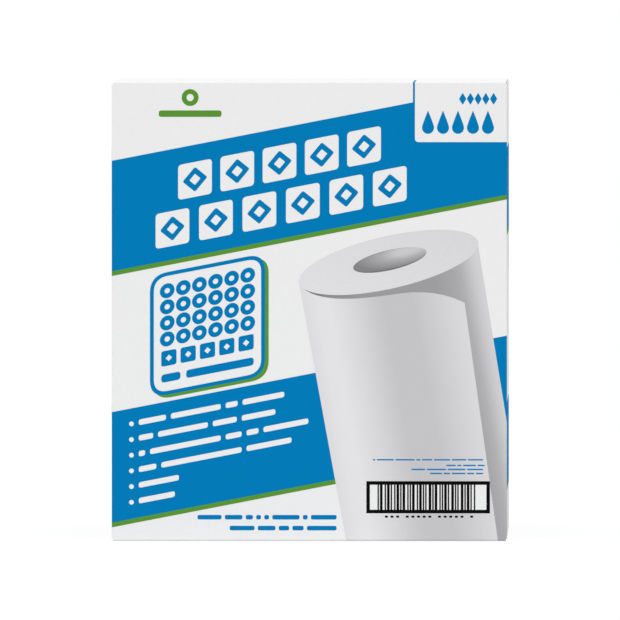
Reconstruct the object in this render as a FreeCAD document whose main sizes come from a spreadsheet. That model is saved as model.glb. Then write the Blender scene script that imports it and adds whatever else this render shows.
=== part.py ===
"""Glued corrugated carton that holds a case of paper towel rolls.

A regular slotted container, packed, closed and glued, so it is one solid: the
board and the rolls that fill it.  X runs along the front panel, Y from the
front to the back, and Z is up.  The origin is the middle of the base.
"""
import FreeCAD, Part
import os
import Sketcher

# Driving sizes, in millimetres.
SIZES = {
    "length": (491, "outside, along the front panel: four rolls side by side"),
    "depth": (371, "outside, front to back: three rolls deep"),
    "height": (570, "outside, base to top: two rolls standing end to end"),
    "board": (3, "thickness of the corrugated board"),
    "crease_crush": (2, "how far a crease crushes the board where it folds"),
    "base_settling": (1, "how much rounder the load presses the creases round the base"),
    "slot_clearance": (0.25, "from the end of a fold's curve to the cut end of a flap"),
    "seam_gap": (2, "left between the two major flaps where they meet"),
}

# What follows from those sizes, as expressions that the document works out.
RIGHT = "sizes.length / 2"
LEFT = "-sizes.length / 2"
BACK = "sizes.depth / 2"
FRONT = "-sizes.depth / 2"
TOP = "sizes.height"
BASE = "0"
FOLD_RADIUS = "sizes.board - sizes.crease_crush"
BASE_FOLD_RADIUS = f"{FOLD_RADIUS} + sizes.base_settling"
# The panels stop one board short of the base and the top, where the major flaps lie on them.
PANEL_FOOT = "sizes.board"
PANEL_HEAD = "sizes.height - sizes.board"
# The slots between the flaps leave each flap's cut end this far inside the panel beside it.
FLAP_INSET = f"{FOLD_RADIUS} + sizes.slot_clearance"
FLAP_END = f"sizes.length / 2 - ({FLAP_INSET})"
SEAM_BACK = "sizes.seam_gap / 2"
SEAM_FRONT = "-sizes.seam_gap / 2"
# All the flaps are half the depth long, so the minor ones leave the middle of the seam open.
OPEN_SEAM = "sizes.length - sizes.depth"

# The body's features in order.  Each cuts or rounds what stands before it, except the flaps.
FEATURES = [
    "panels",
    "upright_and_minor_flap_folds",
    "major_flaps",
    "top_flap_folds",
    "base_flap_folds",
    "open_seams",
]

TOLERANCE = 1e-6
ORIGIN_POINT = (-1, 1)
AXIS_POINT = {"DistanceX": -2, "DistanceY": -1}
LINE_START = 1
LINE_END = 2


def new_sheet(doc):
    """Write the driving sizes into a spreadsheet, one aliased cell each."""
    sheet = doc.addObject("Spreadsheet::Sheet", "sizes")
    for row, (alias, (value, meaning)) in enumerate(SIZES.items(), start=1):
        sheet.set(f"A{row}", alias)
        sheet.set(f"B{row}", str(value))
        sheet.set(f"C{row}", meaning)
        sheet.setAlias(f"B{row}", alias)
    doc.recompute()


def value_of(item, expression):
    """Work out one of the expressions above, in millimetres."""
    return float(item.evalExpression(expression))


def new_sketch(body, name, plane_role):
    """Attach a sketch to one of the body's own origin planes."""
    plane = next(item for item in body.Origin.OriginFeatures if item.Role == plane_role)
    sketch = body.newObject("Sketcher::SketchObject", name)
    sketch.AttachmentSupport = (plane, [""])
    sketch.MapMode = "FlatFace"
    return sketch


def lock_line(sketch, line, direction, expression):
    """Hold a line at the signed distance from the sketch's origin that an expression gives."""
    distance = value_of(sketch, expression)
    if abs(distance) < TOLERANCE:
        sketch.addConstraint(Sketcher.Constraint("PointOnObject", line, LINE_START, AXIS_POINT[direction]))
        return
    ends = (*ORIGIN_POINT, line, LINE_START)
    if distance < 0:
        ends = (line, LINE_START, *ORIGIN_POINT)
        expression = f"-({expression})"
    index = sketch.addConstraint(Sketcher.Constraint(direction, *ends, abs(distance)))
    sketch.setExpression(f"Constraints[{index}]", expression)


def draw_outline(sketch, corners):
    """Draw a closed outline of upright and level lines through corners given as expressions."""
    points = [FreeCAD.Vector(value_of(sketch, x), value_of(sketch, y), 0) for x, y in corners]
    lines = []
    for start, end, (x, y) in zip(points, points[1:] + points[:1], corners):
        line = sketch.addGeometry(Part.LineSegment(start, end))
        if abs(end.x - start.x) < TOLERANCE:
            sketch.addConstraint(Sketcher.Constraint("Vertical", line))
            lock_line(sketch, line, "DistanceX", x)
        else:
            sketch.addConstraint(Sketcher.Constraint("Horizontal", line))
            lock_line(sketch, line, "DistanceY", y)
        lines.append(line)
    for line, following in zip(lines, lines[1:] + lines[:1]):
        sketch.addConstraint(Sketcher.Constraint("Coincident", line, LINE_END, following, LINE_START))


def draw_rectangle(sketch, low_x, high_x, low_y, high_y):
    """Draw a rectangle between four expressions."""
    draw_outline(sketch, [(low_x, low_y), (high_x, low_y), (high_x, high_y), (low_x, high_y)])


def edges_at(feature, **place):
    """Name the edges whose two ends both lie at the given coordinates, each an expression."""
    wanted = {axis: value_of(feature, expression) for axis, expression in place.items()}
    names = []
    for index, edge in enumerate(feature.Shape.Edges, start=1):
        misses = [abs(getattr(end.Point, axis) - wanted[axis]) for end in edge.Vertexes for axis in wanted]
        if max(misses) < TOLERANCE:
            names.append(f"Edge{index}")
    return names


def round_folds(body, name, feature, edges, radius):
    """Round the creases along some edges of a feature to an outside radius given as an expression."""
    folds = body.newObject("PartDesign::Fillet", name)
    folds.Base = (feature, edges)
    folds.setExpression("Radius", radius)
    return folds


def build_panels(doc, body):
    """Raise the four upright panels, with the glued joint's step in the rear left corner.

    The left panel folds there into a tab that is glued inside the back panel,
    and the back panel's cut end stops short of the corner.
    """
    tab_face = "sizes.depth / 2 - sizes.board"
    back_panel_end = f"-({FLAP_END})"
    plan = new_sketch(body, "panel_plan", "XY_Plane")
    plan.setExpression("AttachmentOffset.Base.z", PANEL_FOOT)
    draw_outline(plan, [
        (LEFT, FRONT),
        (RIGHT, FRONT),
        (RIGHT, BACK),
        (back_panel_end, BACK),
        (back_panel_end, tab_face),
        (LEFT, tab_face),
    ])
    panels = body.newObject("PartDesign::Pad", "panels")
    panels.Profile = plan
    panels.setExpression("Length", f"{PANEL_HEAD} - {PANEL_FOOT}")
    doc.recompute()

    upright = [(LEFT, FRONT), (RIGHT, FRONT), (RIGHT, BACK), (LEFT, tab_face)]
    minor = [(side, end) for side in (LEFT, RIGHT) for end in (PANEL_FOOT, PANEL_HEAD)]
    creases = [edge for x, y in upright for edge in edges_at(panels, x=x, y=y)]
    creases += [edge for x, z in minor for edge in edges_at(panels, x=x, z=z)]
    round_folds(body, "upright_and_minor_flap_folds", panels, creases, FOLD_RADIUS)
    doc.recompute()


def build_major_flaps(doc, body):
    """Fold the long flaps of the front and back panels over both ends of the carton."""
    section = new_sketch(body, "major_flap_section", "YZ_Plane")
    for low_y, high_y in ((FRONT, SEAM_FRONT), (SEAM_BACK, BACK)):
        draw_rectangle(section, low_y, high_y, BASE, PANEL_FOOT)
        draw_rectangle(section, low_y, high_y, PANEL_HEAD, TOP)
    flaps = body.newObject("PartDesign::Pad", "major_flaps")
    flaps.Profile = section
    flaps.SideType = "Symmetric"
    flaps.setExpression("Length", f"2 * ({FLAP_END})")
    doc.recompute()

    folded = flaps
    folds = {"top_flap_folds": (TOP, FOLD_RADIUS), "base_flap_folds": (BASE, BASE_FOLD_RADIUS)}
    for name, (z, radius) in folds.items():
        creases = [edge for y in (FRONT, BACK) for edge in edges_at(folded, y=y, z=z)]
        folded = round_folds(body, name, folded, creases, radius)
        doc.recompute()


def cut_open_seams(doc, body):
    """Deepen each seam by one board over its middle, where no minor flap lies under it."""
    section = new_sketch(body, "open_seam_section", "YZ_Plane")
    draw_rectangle(section, SEAM_FRONT, SEAM_BACK, PANEL_FOOT, "2 * sizes.board")
    draw_rectangle(section, SEAM_FRONT, SEAM_BACK, "sizes.height - 2 * sizes.board", PANEL_HEAD)
    wells = body.newObject("PartDesign::Pocket", "open_seams")
    wells.Profile = section
    wells.SideType = "Symmetric"
    wells.setExpression("Length", OPEN_SEAM)
    doc.recompute()


def check_features(doc, body):
    """Stop unless every object is sound and each feature adds or removes what it should."""
    for item in doc.Objects:
        if {"Invalid", "Error"} & set(item.State):
            raise RuntimeError(f"{item.Name} failed: {item.State}")
    for sketch in doc.findObjects("Sketcher::SketchObject"):
        if not sketch.FullyConstrained:
            raise RuntimeError(f"{sketch.Name} is not fully constrained")
    for before, after in zip(FEATURES, FEATURES[1:]):
        growth = doc.getObject(after).Shape.Volume - doc.getObject(before).Shape.Volume
        if (growth > 0) != (after == "major_flaps") or abs(growth) < TOLERANCE:
            raise RuntimeError(f"{after} changed the volume by {growth}")
    shape = body.Shape
    if shape.isNull() or not shape.isValid() or len(shape.Solids) != 1:
        raise RuntimeError("the carton is not one valid solid")
    print(f"carton: {shape.Volume / 1e9:.5f} cubic metres, {len(shape.Faces)} faces, {shape.BoundBox}")


def main():
    """Build the carton, check it and write it out."""
    doc = FreeCAD.newDocument("towel_carton")
    new_sheet(doc)
    body = doc.addObject("PartDesign::Body", "carton_body")
    body.Label = "carton"
    build_panels(doc, body)
    build_major_flaps(doc, body)
    cut_open_seams(doc, body)
    check_features(doc, body)
    os.makedirs("parts", exist_ok=True)
    body.Shape.exportStep(f"parts/{body.Label}.step")


main()
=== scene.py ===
"""Sealed carton of paper towel rolls: its folded board, its print and a plain studio.

The carton is one folded and glued sheet of white-top corrugated board.  The print of each panel
is drawn flat, cut where one ink covers another, and laid on the panel as thin closed plates, one
for each ink.  Design values are in millimetres, and meshes are written in metres in the frame of
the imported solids: X runs along the front panel, Y from front to back, Z is up.
"""
import logging
import math
from abc import ABC, abstractmethod
from collections.abc import Iterator, Sequence
from dataclasses import dataclass
from enum import Enum
from itertools import cycle, product
from typing import Protocol, Self

import bmesh
import bpy
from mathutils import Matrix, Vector
from mathutils.geometry import delaunay_2d_cdt

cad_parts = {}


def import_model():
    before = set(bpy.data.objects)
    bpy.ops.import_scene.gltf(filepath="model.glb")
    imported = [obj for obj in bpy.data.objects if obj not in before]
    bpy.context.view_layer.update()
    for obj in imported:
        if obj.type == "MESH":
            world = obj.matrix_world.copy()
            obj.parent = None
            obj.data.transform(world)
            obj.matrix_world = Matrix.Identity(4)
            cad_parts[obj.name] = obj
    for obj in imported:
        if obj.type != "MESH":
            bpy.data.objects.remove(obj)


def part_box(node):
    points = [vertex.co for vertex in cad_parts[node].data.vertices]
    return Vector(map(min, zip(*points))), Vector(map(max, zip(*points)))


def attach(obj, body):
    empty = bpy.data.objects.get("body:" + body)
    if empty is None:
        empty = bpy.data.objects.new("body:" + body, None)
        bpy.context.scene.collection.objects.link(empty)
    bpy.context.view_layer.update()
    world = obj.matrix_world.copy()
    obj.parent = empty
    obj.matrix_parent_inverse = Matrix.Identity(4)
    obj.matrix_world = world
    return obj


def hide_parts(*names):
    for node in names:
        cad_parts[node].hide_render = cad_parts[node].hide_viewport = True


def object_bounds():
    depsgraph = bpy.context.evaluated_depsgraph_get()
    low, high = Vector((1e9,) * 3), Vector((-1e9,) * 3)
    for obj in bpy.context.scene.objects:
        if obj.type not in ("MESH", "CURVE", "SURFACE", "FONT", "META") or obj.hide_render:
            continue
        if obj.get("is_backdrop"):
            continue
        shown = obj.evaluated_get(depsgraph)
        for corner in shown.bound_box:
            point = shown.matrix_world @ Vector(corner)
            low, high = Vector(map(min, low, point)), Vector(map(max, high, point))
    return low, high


LOG = logging.getLogger("carton")

Point = tuple[float, float]
Path = list[Point]
Corners = tuple[Point, ...]
Triangle = tuple[int, ...]
Colour = tuple[float, float, float, float]
Tree = bpy.types.NodeTree
Node = bpy.types.Node
Socket = bpy.types.NodeSocket
Piece = bpy.types.Object
Solid = bmesh.types.BMesh

MM = 0.001
BODY = "root"
NODE = "carton"

# The bands, the badge and the lines of print all rise to the right at this slope.
PRINT_SLOPE = math.tan(math.radians(11))
# How many flat parts stand for the curve of one fold, in the board and in its print.
FOLD_PARTS = 6
# How far the softening of a printed bar's ends reaches, as a share of its shorter side.
BAR_SOFTNESS = 0.4
# A corner of a solid is at a place when it lies nearer to it than this.
NEAR = 1e-3
# Two points of the flat print are one when they lie nearer to each other than this.
PRINT_NEAR = 1e-4
# A face of the board belongs to a region when its middle is no further outside than this.
TOUCH = 0.1

WHITE: Colour = (1.0, 1.0, 1.0, 1.0)
# Paper and matt ink bend light about as glass does, but scatter nearly all of it.
PAPER_IOR = 1.5
PAPER_GLOSS = 0.01
# A screen of black ink on white board looks a touch cool: red, green and blue, in 8-bit levels.
SCREEN_CAST = (1, 0, 2)


# --- Colour and shader nodes -------------------------------------------------------------------


def linear(hex_colour: str) -> Colour:
    """Turn an sRGB colour into the linear one that the shaders take.

    Args:
        hex_colour: The colour as "#RRGGBB".

    Returns:
        Red, green, blue and an alpha of 1.
    """
    channels = [int(hex_colour[i:i + 2], 16) / 255 for i in (1, 3, 5)]
    red, green, blue = (c / 12.92 if c <= 0.04045 else ((c + 0.055) / 1.055) ** 2.4 for c in channels)
    return red, green, blue, 1.0


def screen_grey(level: int) -> str:
    """Write the grey of a screen tint, whose lightness is an 8-bit level, as a hex colour."""
    return "#" + "".join(f"{level + shift:02X}" for shift in SCREEN_CAST)


def add_node(
    tree: Tree,
    kind: str,
    settings: dict[str, object] | None = None,
    values: dict[str | int, object] | None = None,
    links: dict[str | int, Socket | Node] | None = None,
) -> Node:
    """Add a node to a tree with its settings, its socket values and its incoming links.

    Args:
        tree: The node tree of a material or of the world.
        kind: Blender's type name of the node.
        settings: Properties of the node by name.
        values: Values for its input sockets, by name or number.
        links: Sockets to join to its input sockets, by name or number; a node gives its first.

    Returns:
        The new node.
    """
    node = tree.nodes.new(kind)
    for name, value in (settings or {}).items():
        setattr(node, name, value)
    for name, value in (values or {}).items():
        node.inputs[name].default_value = value
    for name, source in (links or {}).items():
        tree.links.new(source.outputs[0] if isinstance(source, Node) else source, node.inputs[name])
    return node


def blank_material(name: str) -> bpy.types.Material:
    """Make a material with an empty node tree.

    Args:
        name: Name of the real material and how it was made.

    Returns:
        The material.
    """
    material = bpy.data.materials.new(name)
    material.use_nodes = True
    material.node_tree.nodes.clear()
    return material


# --- Finishes ----------------------------------------------------------------------------------


@dataclass(frozen=True)
class BoardRelief:
    """Relief of single-wall board: the flutes' ridges press through the liner, under its fibres."""

    flute_pitch: float = 6.5
    depth: float = 0.03
    ridge_share: float = 0.5
    fibre: float = 1.2
    side_facing: float = 0.7

    def wire(self, tree: Tree) -> Socket:
        """Add the relief to a material.

        Args:
            tree: The material's node tree.

        Returns:
            The bumped normal.
        """
        place = add_node(tree, "ShaderNodeTexCoord")
        axes = add_node(tree, "ShaderNodeSeparateXYZ", links={0: place.outputs["Object"]})
        facing = add_node(tree, "ShaderNodeSeparateXYZ", links={0: place.outputs["Normal"]})
        across = facing.outputs["X"]
        sideways = add_node(tree, "ShaderNodeMath", {"operation": "ABSOLUTE"}, links={0: across})
        on_side = add_node(
            tree, "ShaderNodeMath", {"operation": "GREATER_THAN"}, {1: self.side_facing}, {0: sideways}
        )
        # The flutes stand upright in every panel, so their ridges are counted along it.
        along = add_node(
            tree, "ShaderNodeMix", {"data_type": "FLOAT"},
            links={0: on_side, 2: axes.outputs["X"], 3: axes.outputs["Y"]},
        )
        turns = add_node(
            tree, "ShaderNodeMath", {"operation": "MULTIPLY"},
            {1: 2 * math.pi / (self.flute_pitch * MM)}, {0: along},
        )
        ridges = add_node(tree, "ShaderNodeMath", {"operation": "SINE"}, links={0: turns})
        # Paper fibres are about 0.03 mm wide, so they are drawn as coarse as the render can show.
        fibres = add_node(
            tree, "ShaderNodeTexNoise",
            values={"Scale": 1 / (self.fibre * MM), "Detail": 3.0, "Roughness": 0.6},
            links={"Vector": place.outputs["Object"]},
        )
        height = add_node(
            tree, "ShaderNodeMath", {"operation": "MULTIPLY_ADD"}, {1: self.ridge_share},
            {0: ridges, 2: fibres},
        )
        bump = add_node(
            tree, "ShaderNodeBump", values={"Strength": 1.0, "Distance": self.depth * MM},
            links={"Height": height},
        )
        return bump.outputs["Normal"]


@dataclass(frozen=True, kw_only=True)
class Finish(ABC):
    """A matt finish on board.

    Attributes:
        name: Name of the real material and how it was made.
        roughness: Roughness of the surface.
    """

    name: str
    roughness: float

    @abstractmethod
    def colour(self, tree: Tree) -> Socket:
        """Add the finish's colour to its material's node tree, and return it."""

    def material(self) -> bpy.types.Material:
        """Make the material, unless it is made already.

        Returns:
            The material.
        """
        if self.name in bpy.data.materials:
            return bpy.data.materials[self.name]
        material = blank_material(self.name)
        tree = material.node_tree
        surface = add_node(
            tree, "ShaderNodeBsdfPrincipled",
            values={"Roughness": self.roughness, "IOR": PAPER_IOR, "Specular IOR Level": PAPER_GLOSS},
            links={"Base Color": self.colour(tree), "Normal": BoardRelief().wire(tree)},
        )
        add_node(tree, "ShaderNodeOutputMaterial", links={"Surface": surface})
        return material


@dataclass(frozen=True, kw_only=True)
class CloudedFinish(Finish):
    """A finish whose colour clouds between a darker and a lighter tone, like the pulp under it."""

    tones: tuple[str, str]
    flock: float = 4.0

    def colour(self, tree: Tree) -> Socket:
        """Mix the two tones by a soft noise.

        Args:
            tree: The material's node tree.

        Returns:
            The colour.
        """
        place = add_node(tree, "ShaderNodeTexCoord")
        cloud = add_node(
            tree, "ShaderNodeTexNoise", values={"Scale": 1 / (self.flock * MM), "Detail": 2.0},
            links={"Vector": place.outputs["Object"]},
        )
        dark, light = (linear(tone) for tone in self.tones)
        mix = add_node(tree, "ShaderNodeMix", {"data_type": "RGBA"}, {6: dark, 7: light}, {0: cloud})
        return mix.outputs[2]


@dataclass(frozen=True, kw_only=True)
class ScreenTint(Finish):
    """A screen of black ink that fades from grey to grey; it is too even to cloud.

    Attributes:
        stops: A reach in millimetres, measured as the kind of tint says, and the grey level there.
    """

    roughness: float = 0.7
    stops: tuple[tuple[float, int], ...]

    @abstractmethod
    def reach(self, tree: Tree) -> Socket:
        """Add the reach at each place of the front panel to the tree, and return it in metres."""

    def colour(self, tree: Tree) -> Socket:
        """Grade the tint from stop to stop.

        Args:
            tree: The material's node tree.

        Returns:
            The colour.
        """
        first, last = self.stops[0][0], self.stops[-1][0]
        share = add_node(
            tree, "ShaderNodeMapRange", values={"From Min": first * MM, "From Max": last * MM},
            links={"Value": self.reach(tree)},
        )
        ramp = add_node(tree, "ShaderNodeValToRGB", links={0: share})
        elements = ramp.color_ramp.elements
        while len(elements) < len(self.stops):
            elements.new(0.5)
        for element, (distance, level) in zip(elements, self.stops):
            element.position = (distance - first) / (last - first)
            element.color = linear(screen_grey(level))
        return ramp.outputs[0]


@dataclass(frozen=True, kw_only=True)
class SlantedTint(ScreenTint):
    """A screen tint that fades along one direction.

    Attributes:
        direction: Which way the tint fades, along the panel and up it.
    """

    direction: Point

    def reach(self, tree: Tree) -> Socket:
        """Measure how far along the direction a place lies.

        Args:
            tree: The material's node tree.

        Returns:
            The distance, in metres.
        """
        place = add_node(tree, "ShaderNodeTexCoord")
        reach = add_node(
            tree, "ShaderNodeVectorMath", {"operation": "DOT_PRODUCT"},
            {1: (self.direction[0], 0.0, self.direction[1])}, {0: place.outputs["Object"]},
        )
        return reach.outputs["Value"]


@dataclass(frozen=True, kw_only=True)
class GlowTint(ScreenTint):
    """A screen tint that fades outwards from a light spot, in ovals round it.

    Attributes:
        centre: The middle of the light spot, along the panel and up it.
        flatness: How wide an oval is across its long axis, as a share of its length.
        tilt: How far the ovals' long axes rise to the right, in degrees.
    """

    centre: Point
    flatness: float
    tilt: float

    def reach(self, tree: Tree) -> Socket:
        """Measure how far from the light spot a place lies.

        Args:
            tree: The material's node tree.

        Returns:
            Half the length of the oval through that place, in metres.
        """
        place = add_node(tree, "ShaderNodeTexCoord")
        # Turned and stretched until the ovals are circles; the scale of 0 flattens the depth away.
        round_spot = add_node(
            tree, "ShaderNodeMapping", {"vector_type": "TEXTURE"},
            {
                "Location": (self.centre[0] * MM, 0.0, self.centre[1] * MM),
                "Rotation": (0.0, -math.radians(self.tilt), 0.0),
                "Scale": (1.0, 0.0, self.flatness),
            },
            {"Vector": place.outputs["Object"]},
        )
        reach = add_node(tree, "ShaderNodeVectorMath", {"operation": "LENGTH"}, links={0: round_spot})
        return reach.outputs["Value"]


class Ink(Enum):
    """What a printed shape lays on the board; BARE leaves out the inks that lie under it."""

    BARE = "bare"
    BLUE = "blue"
    GREEN = "green"
    BLACK = "black"
    ROLL_SIDE = "roll_side"
    ROLL_WRAP = "roll_wrap"
    ROLL_END = "roll_end"
    ROLL_LAYER = "roll_layer"
    CORE_EDGE = "core_edge"
    CORE_INSIDE = "core_inside"


# Bleached kraft liner, made smooth on the machine: an even, slightly cool white without gloss.
WHITE_TOP_LINER = CloudedFinish(
    name="white_top_liner_calendered", tones=("#E9E9E9", "#EDEDED"), roughness=0.80
)
# Bleached board, die-cut: a duller, warmer white than the liner, where the medium inside it shows.
CUT_BOARD_EDGE = CloudedFinish(
    name="bleached_board_die_cut_edge", tones=("#DFDEDB", "#E9E8E5"), roughness=0.95
)

# Water-based ink printed from a rubber plate: flat and even, a little smoother than bare liner.
INK_FINISHES: dict[Ink, Finish] = {
    # A clear mid blue, which carries most of the print.
    Ink.BLUE: CloudedFinish(
        name="blue_ink_flexo_printed", tones=("#0079B5", "#037BB7"), roughness=0.62
    ),
    # A leaf green that lies dull beside the blue.
    Ink.GREEN: CloudedFinish(
        name="green_ink_flexo_printed", tones=("#579033", "#5B9436"), roughness=0.62
    ),
    # Carbon black, the densest of the inks, so it hides the flocks best.
    Ink.BLACK: CloudedFinish(
        name="black_ink_flexo_printed", tones=("#0A0A0B", "#101011"), roughness=0.60
    ),
    # A screen of the black plate, light at the left and in a soft shade right of the roll's middle.
    Ink.ROLL_SIDE: SlantedTint(
        name="grey_tint_roll_side_flexo_printed", direction=(1.0, 0.18),
        stops=(
            (45, 218), (62, 225), (78, 226), (108, 214), (138, 198), (146, 195), (182, 195), (240, 216),
        ),
    ),
    # The heaviest screen: dark beside the sheet's edge, and fading out to the right.
    Ink.ROLL_WRAP: SlantedTint(
        name="grey_tint_roll_wrap_flexo_printed", direction=(1.0, 0.19),
        stops=(
            (48, 85), (64, 110), (80, 140), (122, 152), (218, 156), (243, 167), (253, 176), (267, 200),
            (275, 208),
        ),
    ),
    # A very light screen, almost flat, for the roll's upper end.
    Ink.ROLL_END: SlantedTint(
        name="grey_tint_roll_end_flexo_printed", direction=(0.4, 1.0),
        stops=((310, 222), (390, 218), (455, 214)),
    ),
    # A shade lighter than the end, so that the layers of paper only just show.
    Ink.ROLL_LAYER: SlantedTint(
        name="grey_tint_roll_layer_flexo_printed", direction=(0.4, 1.0),
        stops=((310, 226), (390, 222), (455, 218)),
    ),
    # A half-dark line round the core's mouth.
    Ink.CORE_EDGE: SlantedTint(
        name="grey_tint_core_edge_flexo_printed", direction=(1.0, 0.4),
        stops=((190, 126), (240, 104), (290, 130)),
    ),
    # Darkest at the core's rim, with the light that falls into it as a pale spot.
    Ink.CORE_INSIDE: GlowTint(
        name="grey_tint_core_inside_flexo_printed", centre=(121, 361), flatness=0.28, tilt=13.5,
        stops=((0, 201), (16, 197), (33, 172), (50, 152), (66, 131)),
    ),
}


# --- Flat outlines -----------------------------------------------------------------------------


def rectangle(left: float, bottom: float, right: float, top: float) -> Path:
    """Outline a rectangle from its lower left corner round to its upper left one."""
    return [(left, bottom), (right, bottom), (right, top), (left, top)]


def boxed(centre: Point, width: float, height: float) -> Path:
    """Outline a rectangle round its centre."""
    x, y = centre
    return rectangle(x - width / 2, y - height / 2, x + width / 2, y + height / 2)


def curve(controls: Sequence[Point], steps: int) -> Path:
    """Follow a Bezier curve.

    Args:
        controls: Its control points.
        steps: How many parts it is divided into.

    Returns:
        Points from its start to its end.
    """
    degree = len(controls) - 1
    path = []
    for step in range(steps + 1):
        t = step / steps
        weights = [math.comb(degree, i) * t ** i * (1 - t) ** (degree - i) for i in range(degree + 1)]
        path.append((
            sum(w * x for w, (x, _) in zip(weights, controls)),
            sum(w * y for w, (_, y) in zip(weights, controls)),
        ))
    return path


def softened(corners: Sequence[Point], reach: float, steps: int = 5) -> Path:
    """Round the corners of an outline.

    Args:
        corners: Its corners, in order.
        reach: How far from a corner its rounding starts.
        steps: How many parts each rounding is divided into.

    Returns:
        The rounded outline.
    """
    path = []
    for i, corner in enumerate(corners):
        here = Vector(corner)
        ends = [Vector(corners[i - 1]), Vector(corners[(i + 1) % len(corners)])]
        before, after = (here + (end - here).normalized() * reach for end in ends)
        path += curve([tuple(before), corner, tuple(after)], steps)
    return path


def ellipse(centre: Point, along: float, across: float, tilt: float = 0.0, steps: int = 32) -> Path:
    """Outline an ellipse.

    Args:
        centre: Its centre.
        along: Its first semi-axis.
        across: Its second semi-axis.
        tilt: How far the first semi-axis is turned up from the level, in degrees.
        steps: How many parts the outline is divided into.

    Returns:
        The outline.
    """
    turn = math.radians(tilt)
    path = []
    for step in range(steps):
        angle = 2 * math.pi * step / steps
        x, y = along * math.cos(angle), across * math.sin(angle)
        path.append((
            centre[0] + x * math.cos(turn) - y * math.sin(turn),
            centre[1] + x * math.sin(turn) + y * math.cos(turn),
        ))
    return path


def disc(centre: Point, radius: float, steps: int = 32) -> Path:
    """Outline a disc."""
    return ellipse(centre, radius, radius, 0.0, steps)


def lozenge(centre: Point, width: float, height: float, reach: float) -> Path:
    """Outline a lozenge that stands on its point.

    Args:
        centre: Its centre.
        width: Its width.
        height: Its height.
        reach: How far from a corner its rounding starts, or 0 for sharp corners.

    Returns:
        The outline.
    """
    x, y = centre
    corners = [(x, y - height / 2), (x + width / 2, y), (x, y + height / 2), (x - width / 2, y)]
    return softened(corners, reach, steps=4) if reach else corners


def droplet(centre: Point, width: float, height: float) -> Path:
    """Outline a droplet with its point up.

    Args:
        centre: The middle of its height.
        width: Its width.
        height: Its height.

    Returns:
        The outline.
    """
    x, y = centre
    radius = width / 2
    foot, tip = y - height / 2, (x, y + height / 2)
    # The belly's arc ends ten degrees above its widest place, and each side curves on to the tip.
    belly = [
        (x + radius * math.cos(angle), foot + radius + radius * math.sin(angle))
        for angle in (math.radians(-190 + 20 * step) for step in range(11))
    ]
    shoulder_out, shoulder_up = radius * 0.8, foot + radius * 1.9
    right = curve([belly[-1], (x + shoulder_out, shoulder_up), tip], steps=4)
    left = curve([tip, (x - shoulder_out, shoulder_up), belly[0]], steps=4)
    return belly[:-1] + right[:-1] + left[:-1]


def bar(left: float, right: float, middle: float, height: float) -> Path:
    """Outline a level bar with softened ends."""
    corners = rectangle(left, middle - height / 2, right, middle + height / 2)
    return softened(corners, min(height, right - left) * BAR_SOFTNESS, steps=3)


# --- Artwork -----------------------------------------------------------------------------------


@dataclass(frozen=True)
class InkShape:
    """One flat printed shape, outlined along its panel from the middle and up from the base."""

    ink: Ink
    outline: Path

    def box(self) -> tuple[float, float, float, float]:
        """Give its lowest and highest reach along the panel and up it."""
        xs, ys = zip(*self.outline)
        return min(xs), min(ys), max(xs), max(ys)

    def holds(self, x: float, y: float) -> bool:
        """Say whether a point lies inside the outline.

        Args:
            x: The point's place along the panel.
            y: The point's height.

        Returns:
            True inside, by counting the edges that a level ray from the point crosses.
        """
        inside = False
        x0, y0 = self.outline[-1]
        for x1, y1 in self.outline:
            if (y0 > y) != (y1 > y) and x < x0 + (y - y0) * (x1 - x0) / (y1 - y0):
                inside = not inside
            x0, y0 = x1, y1
        return inside


def sloping(ink: Ink, path: Path, slope: float = PRINT_SLOPE) -> InkShape:
    """Print an outline so that its level lines rise to the right and its uprights stay upright."""
    return InkShape(ink, [(x, y + x * slope) for x, y in path])


class Artwork(Protocol):
    """Something printed on a panel."""

    def shapes(self) -> Iterator[InkShape]:
        """Draw it, from its lowest layer to its highest."""


@dataclass(frozen=True)
class Row:
    """A level row of places for equal figures."""

    first: Point
    pitch: float
    count: int = 5

    def places(self) -> list[Point]:
        """List the places from left to right."""
        return [(self.first[0] + i * self.pitch, self.first[1]) for i in range(self.count)]


@dataclass(frozen=True)
class Band:
    """A wide blue band right across a panel, with a green stripe along its foot.

    Attributes:
        foot: Height of the blue part's lower edge, at the panel's middle.
        height: Height of the blue part.
        stripe: Width of the green stripe under it.
        slope: Slope of the band.
        reach: How far it is drawn each side of the middle, past the panel's ends.
    """

    foot: float
    height: float
    stripe: float
    slope: float = 0.0
    reach: float = 280.0

    def shapes(self) -> Iterator[InkShape]:
        """Draw the band and its stripe.

        Returns:
            The band's shape, then the stripe's.
        """
        blue = rectangle(-self.reach, self.foot, self.reach, self.foot + self.height)
        green = rectangle(-self.reach, self.foot - self.stripe, self.reach, self.foot)
        yield sloping(Ink.BLUE, blue, self.slope)
        yield sloping(Ink.GREEN, green, self.slope)


@dataclass(frozen=True)
class SheetRows:
    """Rows of white sheets on the upper band, each embossed with a lozenge like a paper towel."""

    rows: tuple[Row, ...] = (Row((-142, 477), 52.5), Row((-170, 421.5), 54, 6))
    size: Point = (42.0, 43.5)
    corner: float = 5.0
    lozenges: Point = (31.0, 14.0)
    softness: float = 0.08

    def shapes(self) -> Iterator[InkShape]:
        """Draw each sheet with a blue lozenge and a white one inside it.

        Returns:
            The shapes, from the lowest layer up.
        """
        for centre in (place for row in self.rows for place in row.places()):
            yield sloping(Ink.BARE, softened(boxed(centre, *self.size), self.corner))
            for size, ink in zip(self.lozenges, (Ink.BLUE, Ink.BARE)):
                yield sloping(ink, lozenge(centre, size, size, size * self.softness))


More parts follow.
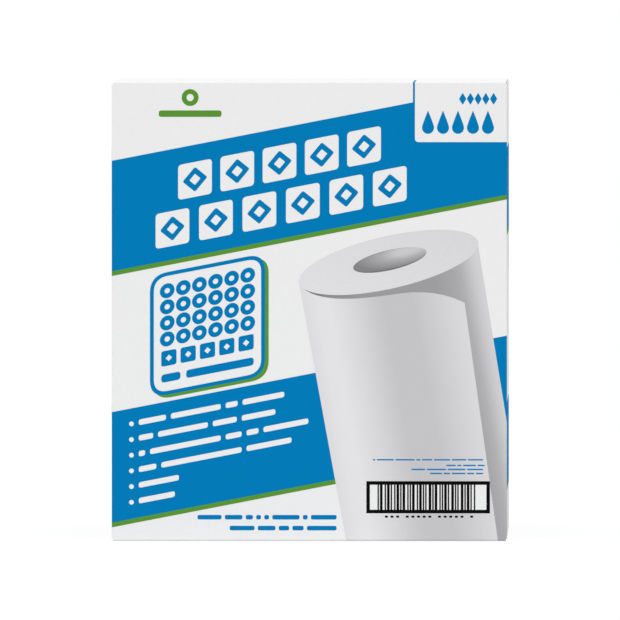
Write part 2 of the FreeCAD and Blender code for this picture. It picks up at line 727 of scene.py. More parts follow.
@dataclass(frozen=True)
class CornerBox:
    """White box in the upper right corner, with a blue line down its left side and two blue rows.

    The line and the box run on over the fold and across the flap.
    """

    left: float = 131.2
    bottom: float = 495.7
    right: float = 300.0
    top: float = 800.0
    corner: float = 5.0
    line: float = 2.4
    line_foot: float = 540.0
    line_lap: float = 1.0
    lozenges: Row = Row((190.5, 549.5), 9.6)
    lozenge_size: Point = (9.0, 15.0)
    lozenge_corner: float = 1.0
    droplets: Row = Row((147.5, 520.5), 18.6)
    droplet_size: Point = (15.0, 29.0)

    def shapes(self) -> Iterator[InkShape]:
        """Draw the line, the box and its two rows of plain figures.

        Returns:
            The shapes, from the lowest layer up.
        """
        line = rectangle(self.left - self.line, self.line_foot, self.left + self.line_lap, self.top)
        box = rectangle(self.left, self.bottom, self.right, self.top)
        yield InkShape(Ink.BLUE, line)
        yield InkShape(Ink.BARE, softened(box, self.corner))
        for upper, lower in zip(self.lozenges.places(), self.droplets.places()):
            yield InkShape(Ink.BLUE, lozenge(upper, *self.lozenge_size, self.lozenge_corner))
            yield InkShape(Ink.BLUE, droplet(lower, *self.droplet_size))


@dataclass(frozen=True)
class CornerSign:
    """Plain green ring over a bar, in the upper left corner."""

    centre: Point = (-148.0, 551.0)
    radius: float = 10.5
    hole: float = 4.5
    bar_half: float = 39.0
    bar_middle: float = 531.0
    bar_height: float = 8.0

    def shapes(self) -> Iterator[InkShape]:
        """Draw the ring and the bar.

        Returns:
            The shapes, from the lowest layer up.
        """
        left, right = self.centre[0] - self.bar_half, self.centre[0] + self.bar_half
        yield InkShape(Ink.GREEN, disc(self.centre, self.radius))
        yield InkShape(Ink.BARE, disc(self.centre, self.hole, steps=20))
        yield InkShape(Ink.GREEN, bar(left, right, self.bar_middle, self.bar_height))


@dataclass(frozen=True)
class CountBadge:
    """Outlined badge that counts the rolls: six by four roll ends over a row of sheets."""

    left: float = -198.0
    right: float = -55.0
    bottom: float = 216.0
    top: float = 368.5
    corner: float = 22.0
    edge: float = 4.8
    shadow: Point = (4.5, -3.0)
    margin: float = 14.0
    columns: int = 6
    rows: int = 4
    pitch: float = 20.0
    end_radius: float = 9.2
    end_hole: float = 3.4
    sheets: Row = Row((-174.5, 261.5), 24)
    sheet: float = 19.0
    sheet_corner: float = 3.0
    sheet_lozenge: float = 8.0
    bars: tuple[Point, ...] = ((-184, -160), (-153, -69))
    bar_middle: float = 237.0
    bar_height: float = 10.0

    def _outline(self, inset: float = 0.0) -> Path:
        """Outline the badge, level, at an inset from its edge."""
        edges = (self.left + inset, self.bottom + inset, self.right - inset, self.top - inset)
        return softened(rectangle(*edges), self.corner - inset, steps=8)

    def shapes(self) -> Iterator[InkShape]:
        """Draw the shadow, the edge, the roll ends, the sheets and the bars.

        Returns:
            The shapes, from the lowest layer up.
        """
        edge = sloping(Ink.BLUE, self._outline())
        along, up = self.shadow
        yield InkShape(Ink.GREEN, [(x + along, y + up) for x, y in edge.outline])
        yield edge
        yield sloping(Ink.BARE, self._outline(self.edge))
        start = (self.left + self.right) / 2 - self.pitch * (self.columns - 1) / 2
        head = self.top - self.margin - self.end_radius
        for column, row in product(range(self.columns), range(self.rows)):
            centre = (start + column * self.pitch, head - row * self.pitch)
            yield sloping(Ink.BLUE, disc(centre, self.end_radius, steps=24))
            yield sloping(Ink.BARE, disc(centre, self.end_hole, steps=12))
        for centre in self.sheets.places():
            sheet = boxed(centre, self.sheet, self.sheet)
            yield sloping(Ink.BLUE, softened(sheet, self.sheet_corner, steps=3))
            yield sloping(Ink.BARE, lozenge(centre, self.sheet_lozenge, self.sheet_lozenge, 0))
        for left, right in self.bars:
            yield sloping(Ink.BLUE, bar(left, right, self.bar_middle, self.bar_height))


@dataclass(frozen=True)
class BarLines:
    """Lines of bars in the place of running words.

    Attributes:
        ink: Ink of the bars.
        height: Height of a bar.
        space: Space between two bars.
        lines: For each line its left end, its middle height, and the length of each bar.
        dot: Radius of the dot before each line, or nought.
        dot_reach: From the line's left end back to the dot, where its middle height is measured.
        slope: Slope of the lines.
    """

    ink: Ink
    height: float
    space: float
    lines: tuple[tuple[float, float, tuple[float, ...]], ...]
    dot: float = 0.0
    dot_reach: float = 9.0
    slope: float = 0.0

    def shapes(self) -> Iterator[InkShape]:
        """Draw each line's dot and bars.

        Returns:
            The shapes, line by line.
        """
        for left, middle, lengths in self.lines:
            start = left - self.dot_reach
            if self.dot:
                yield InkShape(self.ink, disc((start, middle), self.dot, steps=16))
            level = middle - start * self.slope
            for length in lengths:
                yield sloping(self.ink, bar(left, left + length, level, self.height), self.slope)
                left += length + self.space


@dataclass(frozen=True)
class BarField:
    """Framed field of upright bars of even rhythm over rows of dashes."""

    left: float = 70.9
    right: float = 224.5
    bottom: float = 34.4
    top: float = 74.4
    frame: float = 4.4
    quiet: float = 9.5
    bars: tuple[float, ...] = (1.8, 3.3, 1.8, 3.3, 1.8)
    gaps: tuple[float, ...] = (1.2, 2.5, 1.2, 1.2, 2.5, 1.2, 1.2)
    dashes: tuple[tuple[float, int], ...] = ((94, 3), (120, 5), (160, 5), (200, 1))
    dash_pitch: float = 7.0
    dash_foot: float = 29.0
    dash: Point = (3.6, 2.6)

    def shapes(self) -> Iterator[InkShape]:
        """Draw the frame, its white inside, the bars and the dashes.

        Returns:
            The shapes, from the lowest layer up.
        """
        left, right = self.left + self.frame, self.right - self.frame
        low, high = self.bottom + self.frame, self.top - self.frame
        yield InkShape(Ink.BLACK, rectangle(self.left, self.bottom, self.right, self.top))
        yield InkShape(Ink.BARE, rectangle(left, low, right, high))
        x = left + self.quiet
        for width, gap in zip(cycle(self.bars), cycle(self.gaps)):
            if x + width > right - self.quiet:
                break
            yield InkShape(Ink.BLACK, rectangle(x, low, x + width, high))
            x += width + gap
        rows = [Row((start, self.dash_foot), self.dash_pitch, count) for start, count in self.dashes]
        for x, y in (place for row in rows for place in row.places()):
            yield InkShape(Ink.BLACK, rectangle(x, y, x + self.dash[0], y + self.dash[1]))


@dataclass(frozen=True)
class RollPicture:
    """A standing paper roll that leans to the left, with the loose end of its sheet drawn aside.

    Attributes:
        end_axes: Half the length and half the width of the roll's upper end.
        core_wall: How much shorter each half axis of the core's inside is than that of its mouth.
        core_shift: How far the inside lies to the right of the mouth, and above it.
        layers: The lines that layers of paper draw on the end, as shares of its size.
        layer_line: Width of such a line, along the end and across it.
        sheet_top: Curve of the sheet's upper edge, from the left to where it starts to drop.
        foot: The side's lower corners, from the right; they run on under the panel's foot.
    """

    end_centre: Point = (98.6, 346.3)
    end_axes: Point = (114.2, 32.6)
    end_tilt: float = 12.8
    core_centre: Point = (100.0, 349.2)
    core_axes: Point = (46.5, 12.4)
    core_tilt: float = 13.0
    core_wall: float = 0.9
    core_shift: float = 0.8
    layers: tuple[float, ...] = (0.88, 0.74, 0.61)
    layer_line: Point = (0.9, 0.35)
    wrap: Corners = ((-12, 325), (46, 0), (50, -20), (272.8, -20), (209.3, 370), (100, 350))
    shoulder: Point = (-13.5, 325)
    sheet_top: Corners = ((-9, 315), (24, 286), (115, 311.5), (133, 309))
    sheet_drop: Corners = ((133, 309), (151, 310), (174, 306), (193, 296))
    foot: Corners = ((234.5, 0), (237.5, -20), (50, -20), (46, 0))

    def shapes(self) -> Iterator[InkShape]:
        """Draw the wrap behind, the side, the end, its layers and the core.

        Returns:
            The shapes, from the lowest layer up.
        """
        upper_edge = curve(self.sheet_top, steps=20) + curve(self.sheet_drop, steps=10)[1:]
        yield InkShape(Ink.ROLL_WRAP, [*self.wrap])
        yield InkShape(Ink.ROLL_SIDE, [self.shoulder, *upper_edge, *self.foot])
        end = ellipse(self.end_centre, *self.end_axes, self.end_tilt, steps=96)
        yield InkShape(Ink.ROLL_END, end)
        for share in self.layers:
            centre = tuple(c + (e - c) * share for e, c in zip(self.end_centre, self.core_centre))
            axes = [axis * share for axis in self.end_axes]
            inner = [axis - line for axis, line in zip(axes, self.layer_line)]
            yield InkShape(Ink.ROLL_LAYER, ellipse(centre, *axes, self.end_tilt, steps=72))
            yield InkShape(Ink.ROLL_END, ellipse(centre, *inner, self.end_tilt, steps=72))
        mouth = ellipse(self.core_centre, *self.core_axes, self.core_tilt, steps=64)
        yield InkShape(Ink.CORE_EDGE, mouth)
        inside = tuple(place + self.core_shift for place in self.core_centre)
        bore = [axis - self.core_wall for axis in self.core_axes]
        yield InkShape(Ink.CORE_INSIDE, ellipse(inside, *bore, self.core_tilt, steps=64))


FEATURE_LINES = BarLines(
    Ink.BARE, 7.0, 6.0, dot=3.0, slope=PRINT_SLOPE,
    lines=(
        (-212, 145.5, (34, 62, 15, 52)),
        (-212, 126.0, (18, 62, 30, 42)),
        (-212, 106.5, (8, 88, 20, 15, 56)),
        (-212, 87.0, (22, 100, 56)),
        (-212, 67.5, (50,)),
        (-212, 48.0, (45,)),
    ),
)
SIZE_LINES = BarLines(
    Ink.BLUE, 5.6, 4.0,
    lines=((-139, 29.5, (30, 22, 9, 6, 6, 34, 6, 32)), (-99, 16.0, (31, 22, 13, 14, 37))),
)
MAKER_LINES = BarLines(
    Ink.BLUE, 1.8, 2.0,
    lines=(
        (79, 101, (3, 21, 24, 5, 13, 20, 18, 19)),
        (170, 94, (12, 5, 16, 9)),
        (127, 89, (17, 24, 22, 20)),
        (150, 84, (15, 8, 17, 9, 9)),
    ),
)


# --- The board ---------------------------------------------------------------------------------


def add_piece(name: str, shape: Solid) -> Piece:
    """Put a finished shape into the scene as an object.

    Args:
        name: Name of the object.
        shape: The shape, which is used up.

    Returns:
        The object.
    """
    mesh = bpy.data.meshes.new(name)
    shape.to_mesh(mesh)
    shape.free()
    piece = bpy.data.objects.new(name, mesh)
    bpy.context.scene.collection.objects.link(piece)
    return piece


def prism(outline: Path, foot: float, head: float) -> Solid:
    """Raise a solid from an outline.

    Args:
        outline: Its plan, anticlockwise, in millimetres.
        foot: Height of its lower end.
        head: Height of its upper end.

    Returns:
        The closed solid, in metres.
    """
    solid = bmesh.new()
    rings = [[solid.verts.new(Vector((x, y, z)) * MM) for x, y in outline] for z in (foot, head)]
    solid.faces.new(reversed(rings[0]))
    solid.faces.new(rings[1])
    for i in range(len(outline)):
        j = (i + 1) % len(outline)
        solid.faces.new([rings[0][i], rings[0][j], rings[1][j], rings[1][i]])
    return solid


def round_edges(solid: Solid, places: list[dict[str, float]], radius: float) -> None:
    """Round the edges whose two ends both lie at one of some places.

    Args:
        solid: The solid.
        places: Coordinates in millimetres by axis; an edge has to match all of one place's.
        radius: Radius of the rounding, in millimetres.
    """
    edges = []
    for edge, place in product(solid.edges, places):
        corners = product((end.co for end in edge.verts), place.items())
        if all(abs(getattr(corner, axis) / MM - at) < NEAR for corner, (axis, at) in corners):
            edges.append(edge)
    bmesh.ops.bevel(
        solid, geom=edges, offset=radius * MM, offset_type="OFFSET", segments=FOLD_PARTS, profile=0.5,
        affect="EDGES",
    )


class Operation(Enum):
    """How two solids are combined."""

    JOIN = "UNION"
    CUT = "DIFFERENCE"


def combine(body: Piece, tool: Solid, operation: Operation) -> None:
    """Join a solid to an object's mesh, or cut it out.

    Args:
        body: The object, whose mesh is replaced.
        tool: The solid, which is used up.
        operation: Whether it is joined or cut.
    """
    bmesh.ops.recalc_face_normals(tool, faces=tool.faces)
    helper = add_piece("tool", tool)
    modifier = body.modifiers.new("combine", "BOOLEAN")
    modifier.operation = operation.value
    modifier.solver = "EXACT"
    modifier.object = helper
    shape = body.evaluated_get(bpy.context.evaluated_depsgraph_get())
    used = (body.data, helper.data)
    result = bpy.data.meshes.new_from_object(shape)
    body.modifiers.remove(modifier)
    body.data = result
    bpy.data.objects.remove(helper)
    for mesh in used:
        bpy.data.meshes.remove(mesh)


class Side(Enum):
    """The four upright panels, and the way that each faces."""

    FRONT = (0, -1)
    RIGHT = (1, 0)
    BACK = (0, 1)
    LEFT = (-1, 0)


@dataclass
class CartonBoard:
    """The folded and glued sheet of board, closed by its flaps.

    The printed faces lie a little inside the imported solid, by the thickness that the print adds.

    Attributes:
        half_length: From the middle to an end, along the front panel.
        half_depth: From the middle to the front panel's face.
        height: From the base to the top.
        board: Thickness of the board.
        radius: Outside radius of a fold.
        base_radius: The same of the major flaps' folds at the base, which the load presses rounder.
        slot: From the end of a fold's curve to the cut end of a flap.
        seam: Space between the two major flaps.
        print_build: How far the print stands on the board.
        liner: Thickness of a liner at a cut edge.
        sunken: How far the fluted medium lies back between the liners at a cut edge.
        joint_end: Length at each end of the glued joint where the medium is crushed flush.
        lap: How far a flap runs into the panels that it joins, and a cut past what it cuts.
        flat_angle: Faces that bend less than this into each other become one, in degrees.
        sharp_angle: Edges that bend more than this stay sharp, in degrees.
    """

    half_length: float
    half_depth: float
    height: float
    board: float = 3.0
    radius: float = 1.0
    base_radius: float = 2.0
    slot: float = 0.25
    seam: float = 2.0
    print_build: float = 0.1
    liner: float = 0.45
    sunken: float = 0.8
    joint_end: float = 1.5
    lap: float = 1.0
    flat_angle: float = 0.5
    sharp_angle: float = 32.0

    @property
    def flap_end(self) -> float:
        """How far from the middle a major flap's cut ends lie."""
        return self.half_length - self.radius - self.slot

    @property
    def open_half(self) -> float:
        """Half the length of the seam that no minor flap closes from below."""
        return self.half_length - self.half_depth

    def _panels(self) -> Solid:
        """Raise the four panels, with the step of the glued joint in the rear left corner.

        Returns:
            The panels, closed at both ends by the minor flaps.
        """
        x, y = self.half_length - self.print_build, self.half_depth - self.print_build
        foot, head, tab = self.board, self.height - self.board, y - self.board
        plan = [(-x, -y), (x, -y), (x, y), (-self.flap_end, y), (-self.flap_end, tab), (-x, tab)]
        solid = prism(plan, foot, head)
        upright = [{"x": a, "y": b} for a, b in ((-x, -y), (x, -y), (x, y), (-x, tab))]
        minor = [{"x": a, "z": b} for a in (-x, x) for b in (foot, head)]
        round_edges(solid, upright + minor, self.radius - self.print_build)
        return solid

    def _major_flap(self, side: Side, at_top: bool) -> Solid:
        """Fold one major flap over an end of the carton.

        Args:
            side: The panel that it belongs to, front or back.
            at_top: Whether it closes the top or the base.

        Returns:
            The flap.
        """
        toward = side.value[1]
        y, inner = toward * (self.half_depth - self.print_build), toward * self.seam / 2
        z, radius, inner_z = 0.0, self.base_radius, self.board + self.lap
        if at_top:
            z, radius = self.height - self.print_build, self.radius
            inner_z = self.height - self.board - self.lap
        plan = rectangle(-self.flap_end, min(y, inner), self.flap_end, max(y, inner))
        solid = prism(plan, min(z, inner_z), max(z, inner_z))
        round_edges(solid, [{"y": y, "z": z}], radius - self.print_build)
        return solid

    def _cuts(self) -> list[Solid]:
        """List what is cut away: the seams, their open middles and the hollows between the liners.

        Returns:
            The solids to cut with.
        """
        half, top, past = self.seam / 2, self.height - self.board, self.lap
        middle = rectangle(-self.open_half, -half, self.open_half, half)
        levels = ((self.board, self.board * 2), (self.height - self.board * 2, top))
        cuts = [prism(middle, low - past / 2, high + past / 2) for low, high in levels]
        seam = rectangle(-self.half_length, -half, self.half_length, half)
        inner, outer = self.flap_end - self.sunken, self.flap_end + past
        flaps = ((0.0, past, 0.0, self.base_radius), (top, 0.0, past, self.radius))
        for foot, below, above, radius in flaps:
            cuts.append(prism(seam, foot - below, foot + self.board + above))
            low, high = foot + self.liner, foot + self.board - self.liner
            fold = self.half_depth - radius
            for left, right in ((-outer, -inner), (inner, outer)):
                for near, far in ((-fold, -half), (half, fold)):
                    cuts.append(prism(rectangle(left, near, right, far), low, high))
        y = self.half_depth - self.print_build
        joint = rectangle(-outer, y - self.board + self.liner, -inner, y - self.liner)
        return cuts + [prism(joint, self.board + self.joint_end, top - self.joint_end)]

    def _smooth_folds(self, piece: Piece) -> None:
        """Shade the folds as curves and keep the flat faces flat.

        Args:
            piece: The board, whose mesh is cleaned and given its normals.
        """
        solid = bmesh.new()
        solid.from_mesh(piece.data)
        bmesh.ops.remove_doubles(solid, verts=solid.verts, dist=NEAR * MM)
        bmesh.ops.dissolve_limit(
            solid, angle_limit=math.radians(self.flat_angle), verts=solid.verts, edges=solid.edges
        )
        solid.to_mesh(piece.data)
        solid.free()
        piece.data.shade_smooth()
        piece.data.set_sharp_from_angle(angle=math.radians(self.sharp_angle))
        normals = piece.modifiers.new("face_weighted_normals", "WEIGHTED_NORMAL")
        normals.weight = 100
        normals.keep_sharp = True

    def build(self) -> Piece:
        """Make the board.

        Returns:
            The board, as one closed mesh.
        """
        piece = add_piece("carton_board", self._panels())
        for side in (Side.FRONT, Side.BACK):
            for at_top in (False, True):
                combine(piece, self._major_flap(side, at_top), Operation.JOIN)
        for cut in self._cuts():
            combine(piece, cut, Operation.CUT)
        self._smooth_folds(piece)
        return piece

    def _is_cut_edge(self, place: Vector, normal: Vector) -> bool:
        """Say whether a face of the board is a raw cut edge.

        Args:
            place: The face's centre, in metres.
            normal: Its normal.

        Returns:
            True at the flaps' ends, in the seams and at the glued joint's end.
        """
        x, y, z = (value / MM for value in place)
        flap = z < self.board + TOUCH or z > self.height - self.board - TOUCH
        flap_end = flap and self.flap_end - self.sunken - TOUCH < abs(x) < self.flap_end + TOUCH
        # Along a seam the major flaps' edges face across it, and its open middle is dull all over.
        seam = abs(y) < self.seam / 2 + TOUCH
        seam = seam and (abs(normal.y) > 0.5 or abs(x) < self.open_half + TOUCH)
        joint = y > self.half_depth - self.board and abs(x + self.flap_end) < self.sunken + TOUCH
        return flap_end or seam or joint

    def dress(self, piece: Piece) -> None:
        """Give the outside its white liner and the cut edges their own duller white.

        Args:
            piece: The board.
        """
        piece.data.materials.append(WHITE_TOP_LINER.material())
        piece.data.materials.append(CUT_BOARD_EDGE.material())
        for polygon in piece.data.polygons:
            polygon.material_index = int(self._is_cut_edge(polygon.center, polygon.normal))


# --- The print on the panels -------------------------------------------------------------------


@dataclass(frozen=True)
class PanelFace:
    """The outer face of one upright panel, rolled out flat with its folds and its upper major flap.

    Attributes:
        side: Which panel it is.
        carton: The board that it belongs to.
        left: From the panel's middle to the end of its flat part on the left.
        right: The same on the right.
        wrap: How far the print reaches round the fold at its left and right, in degrees; 0 at a cut.
        distance: From the carton's axis to the face.
        foot: Height where the flat face begins.
        head: Height where it ends.
    """

    side: Side
    carton: CartonBoard
    left: float
    right: float
    wrap: Point
    distance: float
    foot: float
    head: float

    @classmethod
    def of(cls, carton: CartonBoard, side: Side) -> Self:
        """Take one panel's face from the board.

        Args:
            carton: The board.
            side: Which panel.

        Returns:
            The face.
        """
        end, depth = carton.half_length - carton.radius, carton.half_depth - carton.radius
        left, right, wrap = {
            Side.FRONT: (end, end, (90, 90)),
            Side.RIGHT: (depth, depth, (0, 0)),
            Side.BACK: (end, carton.flap_end, (90, 0)),
            Side.LEFT: (depth - carton.board, depth, (90, 0)),
        }[side]
        distance, foot, head = carton.half_depth, carton.base_radius, carton.radius
        if side in (Side.LEFT, Side.RIGHT):
            distance = carton.half_length
            foot = head = carton.board + carton.radius
        return cls(side, carton, left, right, wrap, distance, foot, carton.height - head)

    @property
    def fold(self) -> float:
        """Width of a whole fold, rolled out flat."""
        return self.carton.radius * math.pi / 2

    @property
    def base_fold(self) -> float:
        """Width of the fold below the face, rolled out flat."""
        return self.carton.base_radius * math.pi / 2

    def point(self, across: float, up: float, depth: float) -> Vector:
        """Lay a point of the flat print on the carton.

        Args:
            across: Its place along the panel, from the panel's middle to the right as one faces it.
            up: Its height, which goes on past the fold along the flap.
            depth: How far it lies under the face.

        Returns:
            The point in the carton's frame, in metres.
        """
        flat_across = min(max(across, -self.left), self.right)
        flat_up = min(max(up, self.foot), self.head)
        bend = min(max(up - flat_up, -self.base_fold), self.fold)
        over_flap = abs(up - flat_up - bend)
        radius = self.carton.base_radius if bend < 0 else self.carton.radius
        turn, tip = (across - flat_across) / radius, bend / radius
        reach = radius - depth
        out = self.distance - radius - over_flap + reach * math.cos(turn) * math.cos(tip)
        along = flat_across + reach * math.sin(turn)
        facing_x, facing_y = self.side.value
        return Vector((
            facing_x * out - facing_y * along,
            facing_y * out + facing_x * along,
            flat_up + reach * math.sin(tip),
        )) * MM

    def outline(self) -> Path:
        """Outline what can be printed: the face, its part of each fold, and the upper major flap.

        Returns:
            The flat outline.
        """
        carton = self.carton
        left = self.left + carton.radius * math.radians(self.wrap[0])
        right = self.right + carton.radius * math.radians(self.wrap[1])
        if self.side in (Side.LEFT, Side.RIGHT):
            return rectangle(-left, self.foot, right, self.head)
        end, foot, head = carton.flap_end, carton.board, carton.height - carton.board
        low = self.foot - self.base_fold / 2
        top = self.head + self.fold + carton.half_depth - carton.radius - carton.seam / 2
        return [
            (-end, foot), (-end, low), (end, low), (end, foot), (right, foot), (right, head),
            (end, head), (end, top), (-end, top), (-end, head), (-left, head), (-left, foot),
        ]

    def fold_lines(self) -> list[Path]:
        """List the lines across the print where it bends.

        Returns:
            The two ends of each line.
        """
        shares = [i / FOLD_PARTS for i in range(FOLD_PARTS + 1)]
        wide, tall = self.distance + self.left + self.right, self.head * 2
        uprights = [-self.left - self.fold * share for share in shares]
        uprights += [self.right + self.fold * share for share in shares]
        levels = [self.head + self.fold * share for share in shares]
        levels += [self.foot - self.base_fold * share for share in shares]
        lines = [[(x, -tall), (x, tall)] for x in uprights]
        return lines + [[(-wide, y), (wide, y)] for y in levels]


@dataclass
class PrintedPanel:
    """The print of one panel: artwork, cut where inks overlap and laid on the panel.

    Attributes:
        face: The panel's face.
        artwork: What is printed, from the lowest layer up.
        film: How far each plate of ink reaches under the face.
    """

    face: PanelFace
    artwork: Sequence[Artwork]
    film: float = 0.2

    def _cut_flat(self) -> tuple[list[Vector], dict[Ink, list[Triangle]]]:
        """Cut the flat panel along every outline and share its triangles out among the inks.

        Returns:
            The flat points, and each ink's triangles as numbers of points.
        """
        shapes = [shape for part in self.artwork for shape in part.shapes()]
        border = InkShape(Ink.BARE, self.face.outline())
        points: Path = []
        edges: list[tuple[int, int]] = []
        for path in [border.outline, *(shape.outline for shape in shapes)]:
            start, count = len(points), len(path)
            points += path
            edges += [(start + i, start + (i + 1) % count) for i in range(count)]
        for line in self.face.fold_lines():
            edges.append((len(points), len(points) + 1))
            points += line
        vectors = [Vector(point) for point in points]
        flat, _, triangles, *_ = delaunay_2d_cdt(vectors, edges, [], 0, PRINT_NEAR, False)
        layers = [(shape, shape.box()) for shape in reversed(shapes)]
        shared: dict[Ink, list[Triangle]] = {}
        for triangle in triangles:
            x, y = sum((flat[i] for i in triangle), Vector((0, 0))) / 3
            if not border.holds(x, y):
                continue
            for shape, (left, low, right, high) in layers:
                if left <= x <= right and low <= y <= high and shape.holds(x, y):
                    shared.setdefault(shape.ink, []).append(triangle)
                    break
        shared.pop(Ink.BARE, None)
        return flat, shared

    def _plate(self, flat: list[Vector], triangles: list[Triangle]) -> Solid:
        """Make one ink's closed plate.

        Args:
            flat: The flat points.
            triangles: The ink's triangles.

        Returns:
            The plate, laid on the panel.
        """
        plate = bmesh.new()
        used = sorted({i for triangle in triangles for i in triangle})
        outer, inner = (
            {i: plate.verts.new(self.face.point(*flat[i], depth)) for i in used}
            for depth in (0.0, self.film)
        )
        sides = {(t[i], t[(i + 1) % 3]) for t in triangles for i in range(3)}
        for triangle in triangles:
            plate.faces.new([outer[i] for i in triangle])
            plate.faces.new([inner[i] for i in reversed(triangle)])
        for a, b in sorted(sides):
            if (b, a) not in sides:
                plate.faces.new([outer[a], inner[a], inner[b], outer[b]])
        return plate

    def build(self) -> dict[Ink, Piece]:
        """Make the panel's plates.

        Returns:
            One object for each ink.
        """
        flat, shared = self._cut_flat()
        panel = self.face.side.name.lower()
        return {
            ink: add_piece(f"{panel}_{ink.value}_ink", self._plate(flat, triangles))
            for ink, triangles in shared.items()
        }

    def dress(self, plates: dict[Ink, Piece]) -> None:
        """Give each plate its ink's finish."""
        for ink, plate in plates.items():
            plate.data.materials.append(INK_FINISHES[ink].material())


# --- The studio --------------------------------------------------------------------------------


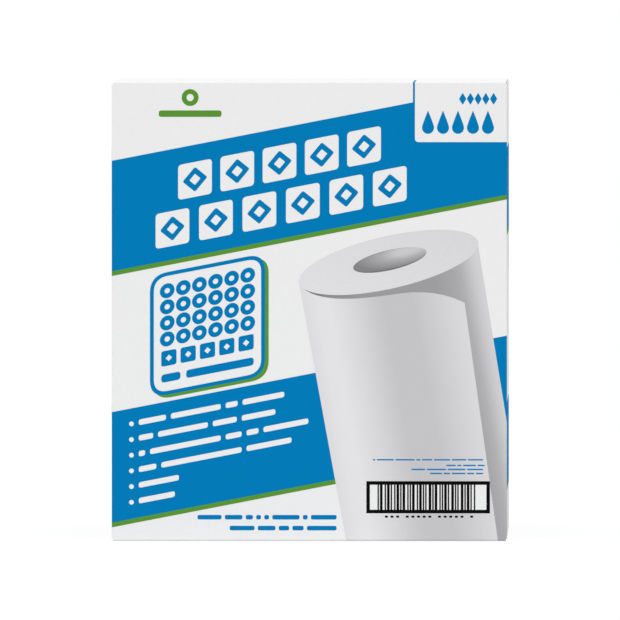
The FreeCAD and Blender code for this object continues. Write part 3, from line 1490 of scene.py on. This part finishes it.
@dataclass(frozen=True)
class Studio:
    """Plain white floor and surroundings, one large softbox, and a camera far in front.

    Attributes:
        sky: Light that the surroundings give.
        softbox_toward: From the carton towards the softbox, which is too far off to light unevenly.
        softbox_strength: Its strength on a face that looks straight at it.
        softbox_spread: How wide it looks from the carton, in degrees.
        softbox_away: How many times that way it stands off, in metres.
        floor_half: Half the width of the floor, in metres.
        shade: How much of the light and shadow on the floor shows; the rest of it is plain white.
        eye: From the middle of the front panel to the camera.
        aim: From the middle of the front panel to the point in the middle of the view.
        view_width: Width of the view at the front panel.
        sensor: Width of the camera's sensor.
        clip: The nearest and the furthest that the camera sees, in metres.
    """

    sky: float = 0.63
    softbox_toward: tuple[float, float, float] = (0.0, -0.25, 0.53)
    softbox_strength: float = 1.80
    softbox_spread: float = 50.0
    softbox_away: float = 3.0
    floor_half: float = 4.0
    shade: float = 0.15
    eye: tuple[float, float, float] = (402.0, -24000.0, 620.0)
    aim: Point = (0.9, 2.1)
    view_width: float = 770.2
    sensor: float = 36.0
    clip: Point = (1.0, 100.0)

    def _seen_directly(self, tree: Tree) -> Socket:
        """Find the rays that show the surroundings: the camera's, mirrored ones and those through glass.

        Args:
            tree: The node tree of the world or of a material.

        Returns:
            1 for such a ray and 0 for one that only lights.
        """
        rays = add_node(tree, "ShaderNodeLightPath")
        seen = rays.outputs["Is Camera Ray"]
        for kind in ("Is Glossy Ray", "Is Transmission Ray"):
            links = {0: seen, 1: rays.outputs[kind]}
            seen = add_node(tree, "ShaderNodeMath", {"operation": "MAXIMUM"}, links=links).outputs[0]
        return seen

    def _surroundings(self) -> None:
        """Fill the world with even light, and show it as plain white."""
        world = bpy.data.worlds.new("white_studio")
        world.use_nodes = True
        tree = world.node_tree
        tree.nodes.clear()
        light = add_node(tree, "ShaderNodeBackground", values={"Color": WHITE, "Strength": self.sky})
        white = add_node(tree, "ShaderNodeBackground", values={"Color": WHITE, "Strength": 1.0})
        seen = self._seen_directly(tree)
        mix = add_node(tree, "ShaderNodeMixShader", links={0: seen, 1: light, 2: white})
        add_node(tree, "ShaderNodeOutputWorld", links={"Surface": mix})
        bpy.context.scene.world = world

    def _floor_paint(self) -> bpy.types.Material:
        """Make the floor's matt white paint, plain white to the eye but for the carton's shadow.

        Returns:
            The material.
        """
        material = blank_material("white_floor_paint_rolled")
        tree = material.node_tree
        paint = add_node(
            tree, "ShaderNodeBsdfPrincipled", values={"Base Color": linear("#E6E6E6"), "Roughness": 0.9}
        )
        white = add_node(tree, "ShaderNodeEmission", values={"Color": WHITE, "Strength": 1.0})
        shadowed = add_node(tree, "ShaderNodeBsdfDiffuse", values={"Color": WHITE})
        shown = add_node(
            tree, "ShaderNodeMixShader", values={0: self.shade}, links={1: white, 2: shadowed}
        )
        seen = self._seen_directly(tree)
        mix = add_node(tree, "ShaderNodeMixShader", links={0: seen, 1: paint, 2: shown})
        add_node(tree, "ShaderNodeOutputMaterial", links={"Surface": mix})
        return material

    def _floor(self) -> None:
        """Lay the floor under the carton."""
        sheet = bmesh.new()
        bmesh.ops.create_grid(sheet, x_segments=2, y_segments=2, size=self.floor_half)
        floor = add_piece("studio_floor", sheet)
        floor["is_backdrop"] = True
        floor.data.materials.append(self._floor_paint())

    def _softbox(self) -> None:
        """Hang the softbox over the carton and in front of it."""
        lamp = bpy.data.lights.new("overhead_softbox", "SUN")
        lamp.energy = self.softbox_strength
        lamp.angle = math.radians(self.softbox_spread)
        stand = bpy.data.objects.new("overhead_softbox", lamp)
        stand.rotation_euler = Vector(self.softbox_toward).to_track_quat("Z", "Y").to_euler()
        stand.location = Vector(self.softbox_toward) * self.softbox_away
        bpy.context.scene.collection.objects.link(stand)

    def _camera(self, carton: CartonBoard) -> None:
        """Stand the camera in front of the carton.

        Args:
            carton: The board, whose front panel the view is set by.
        """
        middle = Vector((0, -carton.half_depth, carton.height / 2))
        place = (middle + Vector(self.eye)) * MM
        target = (middle + Vector((self.aim[0], 0, self.aim[1]))) * MM
        lens = bpy.data.cameras.new("studio_camera")
        lens.sensor_width = self.sensor
        lens.lens = self.sensor * (place - target).length / (self.view_width * MM)
        lens.clip_start, lens.clip_end = self.clip
        camera = bpy.data.objects.new("studio_camera", lens)
        camera.location = place
        camera.rotation_euler = (place - target).to_track_quat("Z", "Y").to_euler()
        bpy.context.scene.collection.objects.link(camera)
        bpy.context.scene.camera = camera

    def set_up(self, carton: CartonBoard) -> None:
        """Make the whole studio round the carton.

        Args:
            carton: The board that stands in it.
        """
        bpy.context.scene.view_settings.view_transform = "Standard"
        self._surroundings()
        self._floor()
        self._softbox()
        self._camera(carton)


# --- The whole carton --------------------------------------------------------------------------


def printed_panels(carton: CartonBoard) -> list[PrintedPanel]:
    """Set out the print of all four panels.

    Args:
        carton: The board that they belong to.

    Returns:
        The panels.
    """
    sloped = [Band(foot, 137.4, 5.8, PRINT_SLOPE) for foot in (382.7, 70.3)]
    level = [Band(foot, 103.5, 6) for foot in (385.5, 69)]
    front = [
        *sloped, SheetRows(), CornerBox(), CornerSign(), CountBadge(), FEATURE_LINES, RollPicture(),
        SIZE_LINES, BarField(), MAKER_LINES,
    ]
    artwork = {Side.FRONT: front, Side.RIGHT: level, Side.BACK: sloped, Side.LEFT: level}
    return [PrintedPanel(PanelFace.of(carton, side), parts) for side, parts in artwork.items()]


def settle(piece: Piece) -> None:
    """Tie a piece to the carton's body, and report it.

    Args:
        piece: The finished piece.
    """
    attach(piece, BODY)
    piece.data.calc_loop_triangles()
    LOG.info("%s: %d triangles", piece.name, len(piece.data.loop_triangles))


def main() -> None:
    """Build the carton and the studio."""
    logging.basicConfig(level=logging.INFO, format="%(name)s: %(message)s")
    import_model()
    solid_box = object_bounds()
    low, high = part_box(NODE)
    carton = CartonBoard(high.x / MM, high.y / MM, (high.z - low.z) / MM)
    board = carton.build()
    carton.dress(board)
    settle(board)
    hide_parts(NODE)
    for panel in printed_panels(carton):
        plates = panel.build()
        panel.dress(plates)
        for plate in plates.values():
            settle(plate)
    Studio().set_up(carton)
    boxes = {"cad_box": solid_box, "visual_box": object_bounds()}
    {name: [list(corner) for corner in box] for name, box in boxes.items()}


if __name__ == "__main__":
    main()
